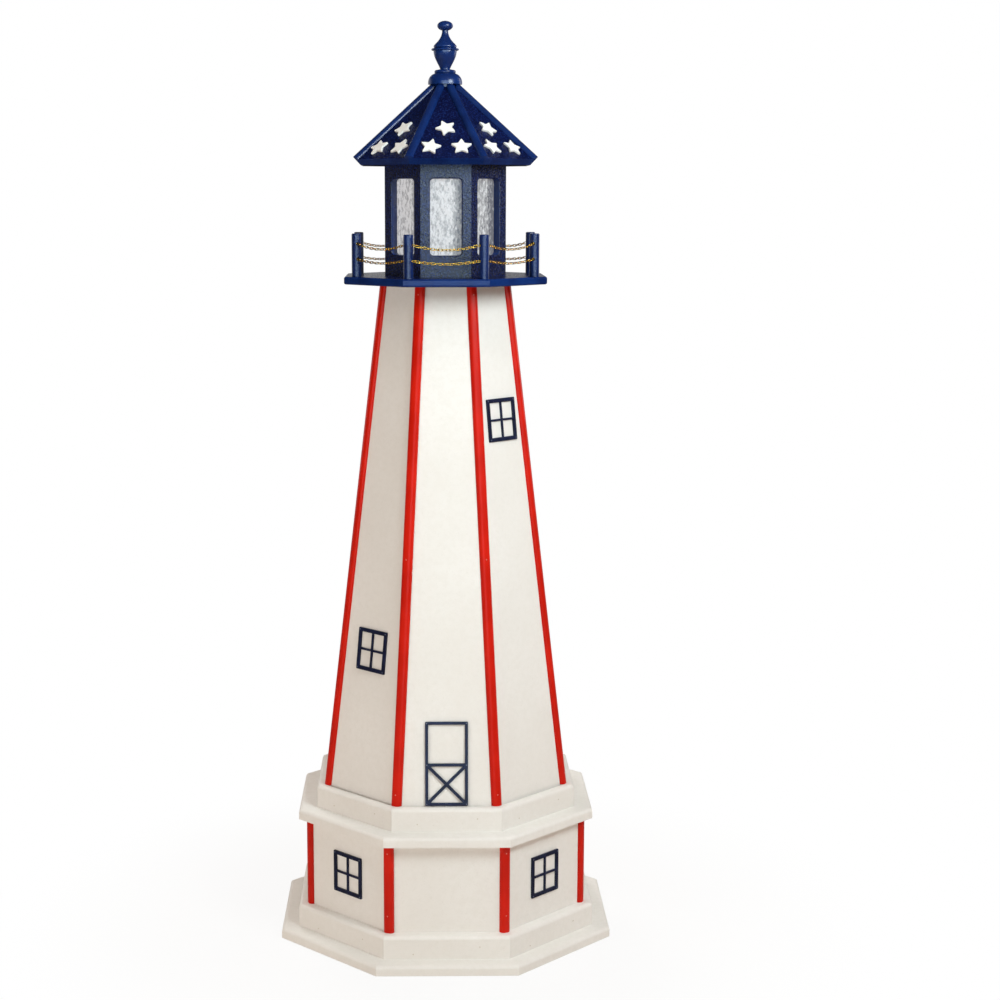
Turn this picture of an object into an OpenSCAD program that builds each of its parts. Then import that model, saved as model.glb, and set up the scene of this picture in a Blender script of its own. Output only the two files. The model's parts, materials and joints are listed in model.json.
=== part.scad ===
// Garden lighthouse ornament: eight-sided tower of plastic boards on a stepped base, with a railed deck,
// a glazed lantern room and a roof that lifts off. Millimetres. The origin is on the ground, under the
// axis, and the door faces -Y.

/* [Boards] */
// Thickness of the wall, deck and roof boards
board_t = 12.7; // [10:0.1:16]
// Thickness of the plinth and the mid plate
plate_t = 17; // [14:0.5:22]
// Thickness of the lower skirt and of the frames at the tower's foot and head
thick_board_t = 19; // [16:0.5:22]
// Gap left in each mitred joint between two boards
joint_gap = 0.2; // [0.1:0.05:0.4]
// Gap under a piece that is glued or pinned on a face
glue_gap = 0.1; // [0.05:0.05:0.3]

/* [Base] */
// How far the plinth stands out from the lower skirt
plinth_lip = 28.9; // [15:0.1:45]
// Opening in the middle of the plinth, across its flat sides
plinth_hole_w = 380; // [300:1:420]
// Base walls, outside, across the flat sides
base_w = 460; // [444:1:500]
// Height of the base walls
base_wall_h = 188; // [150:1:240]
// Height of the two skirts
skirt_h = 38; // [28:1:50]
// Rounding along the top of the skirts
skirt_round = 6.4; // [3:0.1:8]
// How far the mid plate stands out from the base walls
plate_lip = 17.5; // [8:0.1:24]
// Opening in the middle of the mid plate, across its flat sides
plate_hole_w = 300; // [200:1:320]
// Rounding along the upper edges of the plinth and the mid plate
plate_round = 6.4; // [3:0.1:8]
// Hole in the back wall for a lamp cable
cable_hole_d = 12.7; // [8:0.1:20]
// Height of that hole above the lower skirt
cable_hole_lift = 25; // [12:1:60]

/* [Tower] */
// Height of the tower walls
tower_h = 878; // [700:1:1100]
// Tower at its foot, outside, across the flat sides
tower_foot_w = 408; // [390:1:425]
// Tower at its head, outside, across the flat sides
tower_head_w = 205; // [190:1:230]
// Width of the half-round trim strips on the corners
trim_w = 17.6; // [16:0.1:24]
// How far a trim strip stands out from the corner
trim_proud = 4; // [3.8:0.1:5]
// Rounding of the trim strips
trim_round = 7; // [2:0.1:7]
// Width of the board that makes each inner frame
frame_rim_w = 40; // [28:1:46]

/* [Deck] */
// Rounding along the edges of the deck
deck_round = 3.2; // [3:0.1:4]
// Cable hole in the middle of the deck
deck_hole_d = 14; // [8:0.5:20]
// Diameter of the railing posts
post_d = 15.9; // [12:0.1:20]
// Height of the posts above the deck
post_h = 69.5; // [60:0.5:90]
// Distance of the posts from the axis
post_ring_r = 157; // [150:0.5:162]
// How far the deck's edges lie out from the middle of the posts
deck_lip = 20.451; // [15:0.001:26]
// Rounding of the post tops
post_round = 2; // [0.5:0.1:4]
// Gap round a post in its hole in the deck
post_gap = 0.1; // [0.05:0.05:0.3]

/* [Chains] */
// Gap round the chains in their holes through the posts
chain_hole_gap = 0.9; // [0.8:0.05:1.2]
// How far the chains lie below the middle of those holes
chain_drop = 0.2; // [0:0.05:0.25]
// Height of the upper chain's holes above the deck
upper_chain_h = 53; // [45:0.5:56]
// Height of the lower chain's holes above the deck
lower_chain_h = 28; // [20:0.5:35]
// How far the upper chain hangs down between two posts
upper_sag = 7.8; // [4:0.1:9]
// How far the lower chain hangs down between two posts
lower_sag = 5; // [3:0.1:9]
// Length of a link, inside
link_inner_l = 6.4; // [6:0.1:8]
// Width of a link, outside
link_w = 4.8; // [4.6:0.1:5.6]
// Wire of the links
link_wire = 1.2; // [1:0.1:1.3]
// Least free play of a link on the next one
link_play = 0.25; // [0.2:0.05:0.4]

/* [Lantern room] */
// Lantern room, outside, across the flat sides
lantern_w = 198; // [190:1:210]
// Height of the lantern walls
lantern_h = 187; // [170:1:220]
// Width of a window opening
light_w = 50.6; // [40:0.1:56]
// Height of a window opening
light_h = 122; // [90:1:130]
// Height of the window sill above the deck
light_sill = 35; // [20:1:40]
// Corner radius of the window openings
light_round = 6; // [3:0.5:12]
// Thickness of the window panes
pane_t = 3.2; // [2:0.1:5]
// How far a pane laps behind the wall, all round
pane_lap = 6; // [4:0.5:8]

/* [Lamp] */
// Diameter of the lamp holder's foot
holder_foot_d = 62; // [50:1:80]
// Thickness of the lamp holder's foot
holder_foot_h = 10; // [6:1:16]
// Diameter of the lamp holder's cup
holder_cup_d = 38; // [34:1:46]
// Height of the lamp holder's cup above its foot
holder_cup_h = 32; // [28:1:40]
// Diameter of the bulb's screw cap
cap_d = 26; // [22:0.5:28]
// Height of the bulb's screw cap
cap_h = 24; // [20:1:27]
// Gap round the screw cap in the cup
cap_gap = 0.3; // [0.1:0.1:0.6]
// Diameter of the bulb's glass
bulb_d = 48; // [38:1:60]
// Height from the cap to the middle of the glass ball
bulb_rise = 40; // [30:1:50]

/* [Roof] */
// Slope of the roof panels in degrees
roof_slope = 43; // [40:0.5:46]
// Upper edge of the eaves, across the flat sides
eaves_w = 292; // [280:1:310]
// Height of the upper edge of the eaves above the lantern walls
eaves_lift = 1.2; // [0:0.1:4]
// Width of the ribs along the hips
rib_w = 14; // [12.5:0.5:15]
// How far a rib stands out from its hip
rib_proud = 5; // [4.5:0.1:6]
// Rounding of the ribs
rib_round = 6; // [2:0.1:6]
// Block at the peak, across its flat sides
peak_w = 40; // [32:1:42]
// Depth of the block at the peak
peak_h = 28; // [20:1:40]
// Height of the ring that keeps the roof in its place
locator_h = 14; // [8:1:16]
// Free play of that ring in the lantern room
locator_play = 1.5; // [1:0.1:3]

/* [Stars] */
// Radius of a star at its points
star_r = 17.4; // [12:0.1:18]
// Radius of a star between its points
star_waist_r = 9; // [6:0.1:10]
// Half the width of the blunt end of a star's point
star_blunt = 1.6; // [0.5:0.1:2]
// Thickness of the stars
star_t = 3; // [2:0.1:5]
// Distance of each panel's upper star from the axis
upper_star_out = 95; // [88:1:100]
// Distance of each panel's lower stars from the axis
lower_star_out = 127; // [122:1:128]
// Distance of each lower star from the middle of the panel
lower_star_side = 24.3; // [20:0.1:26]

/* [Finial] */
// Radius of the finial's foot
finial_foot_r = 28; // [25:0.5:32]
// Radius at which the finial's foot rests on the ribs
finial_seat_r = 24.5; // [20:0.1:24.9]
// Radius of the finial's vase
finial_vase_r = 19; // [16:0.5:21]
// Radius of the finial's collar
finial_collar_r = 22.6; // [22:0.1:26]
// Radius of the finial's knob
finial_knob_r = 12.9; // [10:0.1:16]
// Diameter of the stud that holds the finial
stud_d = 6; // [4:0.5:8]
// Length of that stud
stud_len = 34; // [24:1:40]

/* [Windows and door] */
// Width of a window frame
window_w = 66; // [50:1:72]
// Height of a window frame
window_h = 70; // [50:1:90]
// Width of the outer bars of a window
window_bar = 6.5; // [4:0.1:9]
// Width of the crossing bars of a window
window_cross_bar = 3.6; // [2:0.1:6]
// Width of the door
door_w = 70; // [60:1:90]
// Height of the door
door_h = 138; // [110:1:170]
// Height of the door's middle bar
door_rail_h = 67; // [50:1:80]
// Width of the door's bars
door_bar = 5; // [3:0.1:8]
// Thickness of the window frames and the door
frame_t = 3; // [2:0.1:5]
// Height of the middle of the base windows
base_window_z = 130; // [100:1:150]
// Height of the middle of the lower tower window
lower_window_z = 501; // [400:1:600]
// Height of the middle of the upper tower window
upper_window_z = 881; // [750:1:900]

/* [Hidden] */
$fn = 64;
sides = 8;
mitre = 180 / sides;
link_fn = 16;
// Most that a link turns about the chain's length, on top of its quarter turn
link_twist = 18;

base_z = plate_t;
plate_z = base_z + base_wall_h;
tower_z = plate_z + plate_t;
deck_z = tower_z + tower_h;
lantern_z = deck_z + board_t;
roof_z = lantern_z + lantern_h;
lower_skirt_top = base_z + skirt_h;
upper_skirt_top = tower_z + skirt_h;

base_r = base_w / 2;
lower_skirt_r = base_r + glue_gap + thick_board_t;
plinth_w = 2 * (lower_skirt_r + plinth_lip);
plate_w = base_w + 2 * plate_lip;
upper_skirt_r = tower_foot_w / 2 + glue_gap + board_t;
tower_lean = atan((tower_foot_w - tower_head_w) / 2 / tower_h);
tower_wall_depth = board_t / cos(tower_lean);
deck_w = 2 * (post_ring_r * cos(mitre) + deck_lip);
lantern_inner_r = lantern_w / 2 - board_t;

eaves_r = eaves_w / 2;
eaves_z = roof_z + eaves_lift;
roof_lean = 90 - roof_slope;
peak_r = peak_w / 2;
hip_slope = atan(tan(roof_slope) * cos(mitre));
rib_crest_lift = rib_proud / cos(hip_slope);
finial_z = rib_crest_lift + roof_top_z(finial_seat_r * cos(mitre));
chain_hole_d = link_w + 2 * chain_hole_gap;
blank = plinth_w;

// Turn of each star, for the three stars of each panel, from the front panel round to the right
star_turns = [[23, -14, 0], [30, 8, -20], [-12, 26, 5], [18, -30, 12],
    [-8, 15, 33], [27, -5, -22], [6, 31, -16], [-34, 20, -9]];

function ring(name) = [for (i = [1:sides]) str(name, "_", i)];

// Distance of the tower's faces from the axis at height z
function tower_r(z) = tower_foot_w / 2 - (z - tower_z) * tan(tower_lean);
// Height of the roof's upper surface at distance r from the axis
function roof_top_z(r) = eaves_z + (eaves_r - r) * tan(roof_slope);
// Height of the roof panels' underside at distance r from the axis
function roof_under_z(r) = roof_top_z(r) - board_t / cos(roof_slope);
// Half the bend of a corner, where two faces that slope alike meet
function corner_bend(slope) = let (hip = atan2(sin(slope) * cos(mitre), cos(slope)))
    atan2(sin(slope) * sin(mitre), sin(slope) * cos(mitre) * sin(hip) + cos(slope) * cos(hip));
function ellipse_arc(centre, rx, ry, from, to, steps) = [for (k = [0:steps])
    let (a = from + (to - from) * k / steps) centre + [rx * cos(a), ry * sin(a)]];

// Children drawn with +X pointing out through the middle of side i, counted from the front to the right
module on_side(i) {
    rotate([0, 0, i * 2 * mitre - 90]) children();
}

// Children drawn with +X pointing out through the corner to the right of side i
module on_corner(i) {
    rotate([0, 0, (2 * i + 1) * mitre - 90]) children();
}

// Children drawn flat on a leaning face of side i: X to the right, Y up the face, Z out of it
module on_face(i, r, z, lean) {
    on_side(i) translate([r, 0, z]) rotate([0, -lean, 0]) rotate([90, 0, 90]) children();
}

// Keeps what lies between the two mitre planes of a side, less half the joint gap on each
module mitre_wedge() {
    translate([joint_gap / 2 / sin(mitre), 0, -1])
        linear_extrude(finial_z)
            polygon([[0, 0], [blank, -blank * tan(mitre)], [blank, blank * tan(mitre)]]);
}

// A board on side i. Its section is drawn with X out from the axis and Y up
module mitred_board(i) {
    on_side(i) intersection() {
        rotate([90, 0, 0]) linear_extrude(blank, center = true) children();
        mitre_wedge();
    }
}

module skirt_section(r, z, t) {
    translate([r - t, z]) square([t, skirt_h - skirt_round]);
    translate([r - t, z]) square([t - skirt_round, skirt_h]);
    translate([r - skirt_round, z + skirt_h - skirt_round]) circle(skirt_round);
}

module rounded_rectangle(w, h, r) {
    square([w - 2 * r, h], center = true);
    square([w, h - 2 * r], center = true);
    for (x = [-1, 1], y = [-1, 1]) translate([x * (w / 2 - r), y * (h / 2 - r)]) circle(r);
}

module octagon(w, h) {
    rotate([0, 0, mitre]) cylinder(h = h, d = w / cos(mitre), $fn = sides);
}

// Section of a sheet that stands on y = 0, with its two upper corners rounded
module topped_rectangle(w, t, r) {
    translate([-w / 2, 0]) square([w, t - r]);
    translate([r - w / 2, 0]) square([w - 2 * r, t]);
    for (x = [-1, 1]) translate([x * (w / 2 - r), t - r]) circle(r);
}

// An eight-sided sheet of width w, with the children as its section on all sides
module eight_sided(w) {
    intersection_for (i = [0:sides / 2 - 1])
        rotate([90, 0, i * 2 * mitre]) linear_extrude(w * 1.2, center = true) children();
}

// Section of a strip that sits on a corner: X out, Y across, with a V under it that fits the corner
module strip_section(w, proud, r, bend) {
    depth = w / 2 * tan(bend);
    translate([glue_gap, 0]) difference() {
        union() {
            translate([-depth, -w / 2]) square([depth + proud - r, w]);
            translate([-depth, r - w / 2]) square([depth + proud, w - 2 * r]);
            for (y = [-1, 1]) translate([proud - r, y * (w / 2 - r)]) circle(r);
        }
        polygon([[0, 0], [-w, w / tan(bend)], [-w, -w / tan(bend)]]);
    }
}

// Children's section swept up the line from the corner of faces at r0, z0 to that at r1, z1
module along_corner(r0, z0, r1, z1) {
    run = (r1 - r0) / cos(mitre);
    rise = z1 - z0;
    translate([r0 / cos(mitre), 0, z0]) rotate([0, atan2(run, rise), 0])
        translate([0, 0, -board_t]) linear_extrude(norm([run, rise]) + 2 * board_t) children();
}

module slab(z0, z1) {
    translate([0, 0, (z0 + z1) / 2]) cube([2 * blank, 2 * blank, z1 - z0], center = true);
}

module plinth() {
    color("ivory") difference() {
        eight_sided(plinth_w) topped_rectangle(plinth_w, plate_t, plate_round);
        translate([0, 0, -1]) octagon(plinth_hole_w, plate_t + 2);
    }
}

module lower_skirt() {
    color("ivory") for (i = [0:sides - 1])
        mitred_board(i) skirt_section(lower_skirt_r, base_z, thick_board_t);
}

module base_panel(i) {
    color("ivory") difference() {
        mitred_board(i) translate([base_r - board_t, base_z]) square([board_t, base_wall_h]);
        if (i == sides / 2)
            on_side(i) translate([base_r - 1.5 * board_t, 0, lower_skirt_top + cable_hole_lift])
                rotate([0, 90, 0]) cylinder(h = 2 * board_t, d = cable_hole_d);
    }
}

module base_trims() {
    color("firebrick") for (i = [0:sides - 1]) on_corner(i) intersection() {
        along_corner(base_r, base_z, base_r, plate_z)
            strip_section(trim_w, trim_proud, trim_round, corner_bend(90));
        slab(lower_skirt_top + glue_gap, plate_z - glue_gap);
    }
}

module mid_plate() {
    color("ivory") translate([0, 0, plate_z]) difference() {
        eight_sided(plate_w) topped_rectangle(plate_w, plate_t, plate_round);
        translate([0, 0, -1]) octagon(plate_hole_w, plate_t + 2);
    }
}

module upper_skirt() {
    color("ivory") for (i = [0:sides - 1])
        mitred_board(i) skirt_section(upper_skirt_r, tower_z, board_t);
}

module tower_panel(i) {
    foot = tower_r(tower_z);
    head = tower_r(deck_z);
    color("ivory") mitred_board(i)
        polygon([[foot, tower_z], [head, deck_z], [head - tower_wall_depth, deck_z],
            [foot - tower_wall_depth, tower_z]]);
}

module tower_trim(i) {
    color("firebrick") on_corner(i) intersection() {
        along_corner(tower_r(tower_z), tower_z, tower_r(deck_z), deck_z)
            strip_section(trim_w, trim_proud, trim_round, corner_bend(90 - tower_lean));
        slab(upper_skirt_top + glue_gap, deck_z - glue_gap);
    }
}

// An eight-sided ring inside the tower, from height z up, that touches the walls at its upper edge
module inner_frame(z, t) {
    w = 2 * (tower_r(z + t) - tower_wall_depth - joint_gap);
    color("gainsboro") translate([0, 0, z]) difference() {
        octagon(w, t);
        translate([0, 0, -1]) octagon(w - 2 * frame_rim_w, t + 2);
    }
}

module foot_frame() {
    inner_frame(tower_z, thick_board_t);
}

module waist_frame() {
    inner_frame(tower_z + tower_h / 2, board_t);
}

module head_frame() {
    inner_frame(deck_z - thick_board_t, thick_board_t);
}

module deck() {
    color("midnightblue") translate([0, 0, deck_z]) difference() {
        eight_sided(deck_w) translate([0, board_t / 2]) rounded_rectangle(deck_w, board_t, deck_round);
        translate([0, 0, -1]) cylinder(h = board_t + 2, d = deck_hole_d);
        for (i = [0:sides - 1])
            on_corner(i) translate([post_ring_r, 0, -1]) cylinder(h = board_t + 2, d = post_d + 2 * post_gap);
    }
}

module railing_posts() {
    post_r = post_d / 2;
    length = board_t + post_h;
    color("midnightblue") for (i = [0:sides - 1])
        on_corner(i) translate([post_ring_r, 0, deck_z]) difference() {
            rotate_extrude() {
                square([post_r, length - post_round]);
                square([post_r - post_round, length]);
                translate([post_r - post_round, length - post_round]) intersection() {
                    circle(post_round);
                    square(post_round);
                }
            }
            for (h = [upper_chain_h, lower_chain_h])
                translate([0, 0, board_t + h]) rotate([90, 0, 0])
                    cylinder(h = post_d + 2, d = chain_hole_d, center = true);
        }
}

// Points of a chain's bay at distance s from the middle of the left post: straight through half the
// post's hole, round a hanging arc to the next post, and through half of that post's hole
function arc_r(sag) = (pow(bay_half(), 2) + sag * sag) / 2 / sag;
function bay_half() = post_ring_r * sin(mitre) - post_d / 2 * cos(mitre);
function arc_half(sag) = asin(bay_half() / arc_r(sag));
function bay_len(sag) = post_d + 2 * arc_r(sag) * arc_half(sag) * PI / 180;
function in_post(s) = [post_ring_r * cos(mitre) + s * sin(mitre), s * cos(mitre) - post_ring_r * sin(mitre), 0];
function in_arc(s, sag) = let (a = s / arc_r(sag) * 180 / PI - arc_half(sag))
    [post_ring_r * cos(mitre) + post_d / 2 * sin(mitre), arc_r(sag) * sin(a),
        arc_r(sag) * (cos(arc_half(sag)) - cos(a))];
function mirrored(p) = [p[0], -p[1], p[2]];
function chain_point(s, sag) = s < post_d / 2 ? in_post(s)
    : s <= bay_len(sag) - post_d / 2 ? in_arc(s - post_d / 2, sag)
    : mirrored(in_post(bay_len(sag) - s));

// A link that lies along X: two bends and two straight wires
module link() {
    bend_r = (link_w - link_wire) / 2;
    bend_x = (link_inner_l + link_wire) / 2 - bend_r;
    for (side = [-1, 1]) {
        translate([side * bend_x, 0, 0]) rotate([0, 0, -90 * side])
            rotate_extrude(angle = 180, $fn = 2 * link_fn)
                translate([bend_r, 0]) circle(d = link_wire, $fn = link_fn);
        translate([-bend_x, side * bend_r, 0]) rotate([0, 90, 0])
            cylinder(h = 2 * bend_x, d = link_wire, $fn = link_fn);
    }
}

// A chain threaded through all the posts, with an even number of links in each bay, so that each link
// is a quarter turn from the one before it all the way round
module chain(h, sag) {
    links = 2 * ceil(bay_len(sag) / (link_inner_l - link_play) / 2);
    color("goldenrod") for (i = [0:sides - 1], k = [0:links - 1]) {
        a = chain_point(k / links * bay_len(sag), sag);
        b = chain_point((k + 1) / links * bay_len(sag), sag);
        on_side(i) translate((a + b) / 2 + [0, 0, lantern_z + h - chain_drop])
            rotate([0, -atan2(b[2] - a[2], norm([b[0] - a[0], b[1] - a[1]])), atan2(b[1] - a[1], b[0] - a[0])])
                rotate([45 + 90 * k + link_twist * sin(360 * k / links), 0, 0]) link();
    }
}

module upper_chain() {
    chain(upper_chain_h, upper_sag);
}

module lower_chain() {
    chain(lower_chain_h, lower_sag);
}

module lantern_wall(i) {
    color("midnightblue") difference() {
        mitred_board(i) translate([lantern_inner_r, lantern_z]) square([board_t, lantern_h]);
        on_face(i, lantern_inner_r - 1, lantern_z + light_sill + light_h / 2, 0)
            linear_extrude(board_t + 2) rounded_rectangle(light_w, light_h, light_round);
    }
}

module lantern_panes() {
    color("gainsboro", 0.5) for (i = [0:sides - 1])
        on_face(i, lantern_inner_r - glue_gap - pane_t, lantern_z + light_sill + light_h / 2, 0)
            translate([0, 0, pane_t / 2])
                cube([light_w + 2 * pane_lap, light_h + 2 * pane_lap, pane_t], center = true);
}

module lamp_holder() {
    color("white") translate([0, 0, lantern_z]) difference() {
        union() {
            cylinder(h = holder_foot_h, d = holder_foot_d);
            cylinder(h = holder_foot_h + holder_cup_h, d = holder_cup_d);
        }
        translate([0, 0, holder_foot_h + holder_cup_h - cap_h])
            cylinder(h = cap_h + 1, d = cap_d + 2 * cap_gap);
        translate([0, 0, -1]) cylinder(h = holder_foot_h + holder_cup_h, d = deck_hole_d / 2);
    }
}

module bulb_cap() {
    color("goldenrod") translate([0, 0, lantern_z + holder_foot_h + holder_cup_h - cap_h + cap_gap])
        cylinder(h = cap_h, d = cap_d);
}

module bulb_glass() {
    neck_r = cap_d / 2 - 1;
    color("white", 0.6) translate([0, 0, lantern_z + holder_foot_h + holder_cup_h + 2 * cap_gap]) {
        cylinder(h = bulb_rise, r1 = neck_r, r2 = bulb_d / 2 * 0.9);
        translate([0, 0, bulb_rise]) sphere(d = bulb_d);
    }
}

module roof_panels() {
    top_r = peak_r + joint_gap;
    color("midnightblue") for (i = [0:sides - 1]) mitred_board(i)
        polygon([[eaves_r, eaves_z], [top_r, roof_top_z(top_r)], [top_r, roof_under_z(top_r)],
            [eaves_r - board_t * sin(roof_slope), eaves_z - board_t * cos(roof_slope)]]);
}

// Keeps what lies above the square-cut end of the roof panel on the side that is turned by angle a
module inside_eaves(a) {
    rotate([0, 0, a]) translate([eaves_r, 0, eaves_z]) rotate([0, roof_slope, 0])
        translate([-blank, -blank / 2, -blank / 2]) cube(blank);
}

module roof_ribs() {
    color("midnightblue") for (i = [0:sides - 1]) on_corner(i) intersection() {
        along_corner(eaves_r, eaves_z, peak_r, roof_top_z(peak_r))
            strip_section(rib_w, rib_proud, rib_round, corner_bend(roof_slope));
        inside_eaves(mitre);
        inside_eaves(-mitre);
        translate([peak_r / cos(mitre) + joint_gap, -blank / 2, 0]) cube([blank, blank, finial_z - glue_gap]);
    }
}

// Star of five blunt points, drawn with one point up
module star(r, waist_r, blunt) {
    polygon([for (k = [0:4]) let (a = 90 + 72 * k, tip = [cos(a), sin(a)], across = [-sin(a), cos(a)])
        each [tip * (r - blunt) - across * blunt, tip * r, tip * (r - blunt) + across * blunt,
            waist_r * [cos(a + 36), sin(a + 36)]]]);
}

module roof_stars() {
    places = [[0, upper_star_out], [-lower_star_side, lower_star_out], [lower_star_side, lower_star_out]];
    color("ivory") for (i = [0:sides - 1], k = [0:2])
        on_face(i, places[k][1], roof_top_z(places[k][1]), roof_lean)
            translate([places[k][0], 0, glue_gap]) rotate([0, 0, star_turns[i][k]])
                linear_extrude(star_t) star(star_r, star_waist_r, star_blunt);
}

// Ceiling board that carries the roof on the lantern walls. Its edges slope with the roof panels
module roof_soffit() {
    z0 = roof_z + glue_gap;
    z1 = z0 + board_t;
    r0 = eaves_r - board_t / sin(roof_slope) - (z0 - eaves_z) / tan(roof_slope) - joint_gap;
    r1 = r0 - board_t / tan(roof_slope);
    color("midnightblue") intersection_for (i = [0:sides / 2 - 1])
        rotate([90, 0, i * 2 * mitre]) linear_extrude(blank, center = true)
            polygon([[-r0, z0], [r0, z0], [r1, z1], [-r1, z1]]);
}

module roof_locator() {
    w = 2 * (lantern_inner_r - locator_play);
    color("midnightblue") translate([0, 0, roof_z + glue_gap - locator_h]) difference() {
        octagon(w, locator_h);
        translate([0, 0, -1]) octagon(w - 2 * board_t, locator_h + 2);
    }
}

module peak_block() {
    color("midnightblue") translate([0, 0, finial_z - peak_h]) difference() {
        octagon(peak_w, peak_h);
        translate([0, 0, peak_h - stud_len / 2]) cylinder(h = stud_len, d = stud_d + 2 * glue_gap);
    }
}

// Half outline of the turned finial: X out, Y up, from the foot to the top of the knob
function finial_outline() = concat(
    [[0, 0], [finial_foot_r, 0]],
    ellipse_arc([finial_foot_r / 2, 2.7], finial_foot_r / 2, 15.2, 0, 74, 8),
    ellipse_arc([finial_vase_r - 4.6, 20], 3.2, 3.2, -55, 60, 6),
    [[finial_vase_r * 0.44, 24.4]],
    [for (k = [0:10]) [finial_vase_r * (0.44 + 0.56 * pow(sin(9 * k), 1.2)), 25.2 + 2.88 * k]],
    ellipse_arc([finial_collar_r - 1.6, 55.8], 1.6, 1.6, -80, 80, 6),
    [[finial_vase_r - 1, 57.6]],
    ellipse_arc([finial_vase_r - 3.4, 60.6], 3.3, 3, -60, 55, 6),
    [for (k = [0:10]) [finial_knob_r * 0.39 + (finial_vase_r * 0.6) * pow(1 - k / 10, 2.1), 64.5 + 2.15 * k]],
    ellipse_arc([0, 93.5], finial_knob_r, 8.1, -67, 90, 14));

module finial() {
    color("midnightblue") translate([0, 0, finial_z + glue_gap]) difference() {
        rotate_extrude() polygon(finial_outline());
        translate([0, 0, -1]) cylinder(h = stud_len / 2 + 1 + glue_gap, d = stud_d + 2 * glue_gap);
    }
}

module finial_stud() {
    color("silver") translate([0, 0, finial_z - stud_len / 2 + glue_gap]) cylinder(h = stud_len, d = stud_d);
}

module window_frame() {
    light = [(window_w - 2 * window_bar - window_cross_bar) / 2, (window_h - 2 * window_bar - window_cross_bar) / 2];
    translate([0, 0, glue_gap]) linear_extrude(frame_t) difference() {
        square([window_w, window_h], center = true);
        for (x = [-1, 1], y = [-1, 1])
            translate([x * (light[0] + window_cross_bar) / 2, y * (light[1] + window_cross_bar) / 2])
                square(light, center = true);
    }
}

module tower_windows() {
    color("midnightblue") {
        on_face(1, tower_r(upper_window_z), upper_window_z, tower_lean) window_frame();
        on_face(sides - 1, tower_r(lower_window_z), lower_window_z, tower_lean) window_frame();
    }
}

module base_windows() {
    color("midnightblue") for (i = [1, sides - 1]) on_face(i, base_r, base_window_z, 0) window_frame();
}

// The door stands on the upper skirt: a frame with a middle bar and a cross of two bars under it
module door_frame() {
    inner_w = door_w - 2 * door_bar;
    upper_h = door_h - door_rail_h - 1.5 * door_bar;
    lower_h = door_rail_h - 1.5 * door_bar;
    foot_z = upper_skirt_top + glue_gap;
    color("midnightblue") on_face(0, tower_r(foot_z), foot_z, tower_lean)
        translate([0, 0, glue_gap]) linear_extrude(frame_t) {
            difference() {
                translate([-door_w / 2, 0]) square([door_w, door_h]);
                translate([-inner_w / 2, door_bar]) square([inner_w, lower_h]);
                translate([-inner_w / 2, door_rail_h + door_bar / 2]) square([inner_w, upper_h]);
            }
            intersection() {
                translate([-door_w / 2, 0]) square([door_w, door_rail_h]);
                for (side = [-1, 1]) translate([0, door_bar + lower_h / 2])
                    rotate(side * atan2(lower_h, inner_w)) square([2 * door_w, door_bar], center = true);
            }
        }
}

plinth();
lower_skirt();
for (i = [1:sides]) base_panel(i - 1);
base_trims();
mid_plate();
upper_skirt();
for (i = [1:sides]) tower_panel(i - 1);
for (i = [1:sides]) tower_trim(i - 1);
foot_frame();
waist_frame();
head_frame();
deck();
railing_posts();
upper_chain();
lower_chain();
for (i = [1:sides]) lantern_wall(i - 1);
lantern_panes();
lamp_holder();
bulb_cap();
bulb_glass();
roof_panels();
roof_ribs();
roof_stars();
roof_soffit();
roof_locator();
peak_block();
finial();
finial_stud();
tower_windows();
base_windows();
door_frame();
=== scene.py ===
# %% [markdown]
# # A garden lighthouse, dressed for the studio
#
# The solids of the lighthouse come from its CAD model, already at their real size and place. This
# script gives each of them a finish, models again the pieces whose edges or curves are rounder than
# the solids show, adds the small heads of the nails, and sets up the camera and the studio in which
# the photograph was taken. Everything is in metres, +Z is up, and the door faces -Y.

import json
import math

import bpy
from mathutils import Matrix, Vector


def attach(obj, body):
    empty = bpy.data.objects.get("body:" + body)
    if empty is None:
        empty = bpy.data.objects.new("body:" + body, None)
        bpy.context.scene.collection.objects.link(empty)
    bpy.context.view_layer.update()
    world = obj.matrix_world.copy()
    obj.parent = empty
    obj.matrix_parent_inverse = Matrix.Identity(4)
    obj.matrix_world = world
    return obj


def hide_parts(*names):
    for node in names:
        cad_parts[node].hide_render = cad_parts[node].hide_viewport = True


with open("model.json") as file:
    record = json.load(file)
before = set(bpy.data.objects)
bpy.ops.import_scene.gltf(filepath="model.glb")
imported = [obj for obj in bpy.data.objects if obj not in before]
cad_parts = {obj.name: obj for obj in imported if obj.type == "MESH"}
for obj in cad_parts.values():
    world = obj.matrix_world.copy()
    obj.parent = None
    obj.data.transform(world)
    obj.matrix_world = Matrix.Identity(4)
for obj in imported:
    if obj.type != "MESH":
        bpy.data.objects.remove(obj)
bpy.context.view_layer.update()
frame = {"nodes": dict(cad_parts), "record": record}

# %% [markdown]
# ## The camera
#
# The photograph is taken from a little over three metres away, at the height of the lantern room,
# looking slightly down. These values come from a fit of a pinhole camera to the corners of the
# boards. The lighthouse stands left of the middle of the picture, which a small lens shift gives
# with hardly any turn of the camera.

# %% Set the camera
camera_place = (-0.0396, -3.1559, 1.2447)
camera_down, camera_right = 0.1607, 0.0125
focal_pixels, picture_pixels, sensor_mm = 1884.4, 1000, 36
picture_shift = 0.055

lens = bpy.data.cameras.new("photo_camera")
lens.sensor_width = sensor_mm
lens.lens = focal_pixels / picture_pixels * sensor_mm
lens.shift_x = picture_shift
camera = bpy.data.objects.new("photo_camera", lens)
camera.location = camera_place
camera.rotation_euler = (math.pi / 2 - camera_down, 0, -camera_right)
bpy.context.scene.collection.objects.link(camera)
bpy.context.scene.camera = camera
print("lens", round(lens.lens, 1), "mm")

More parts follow.
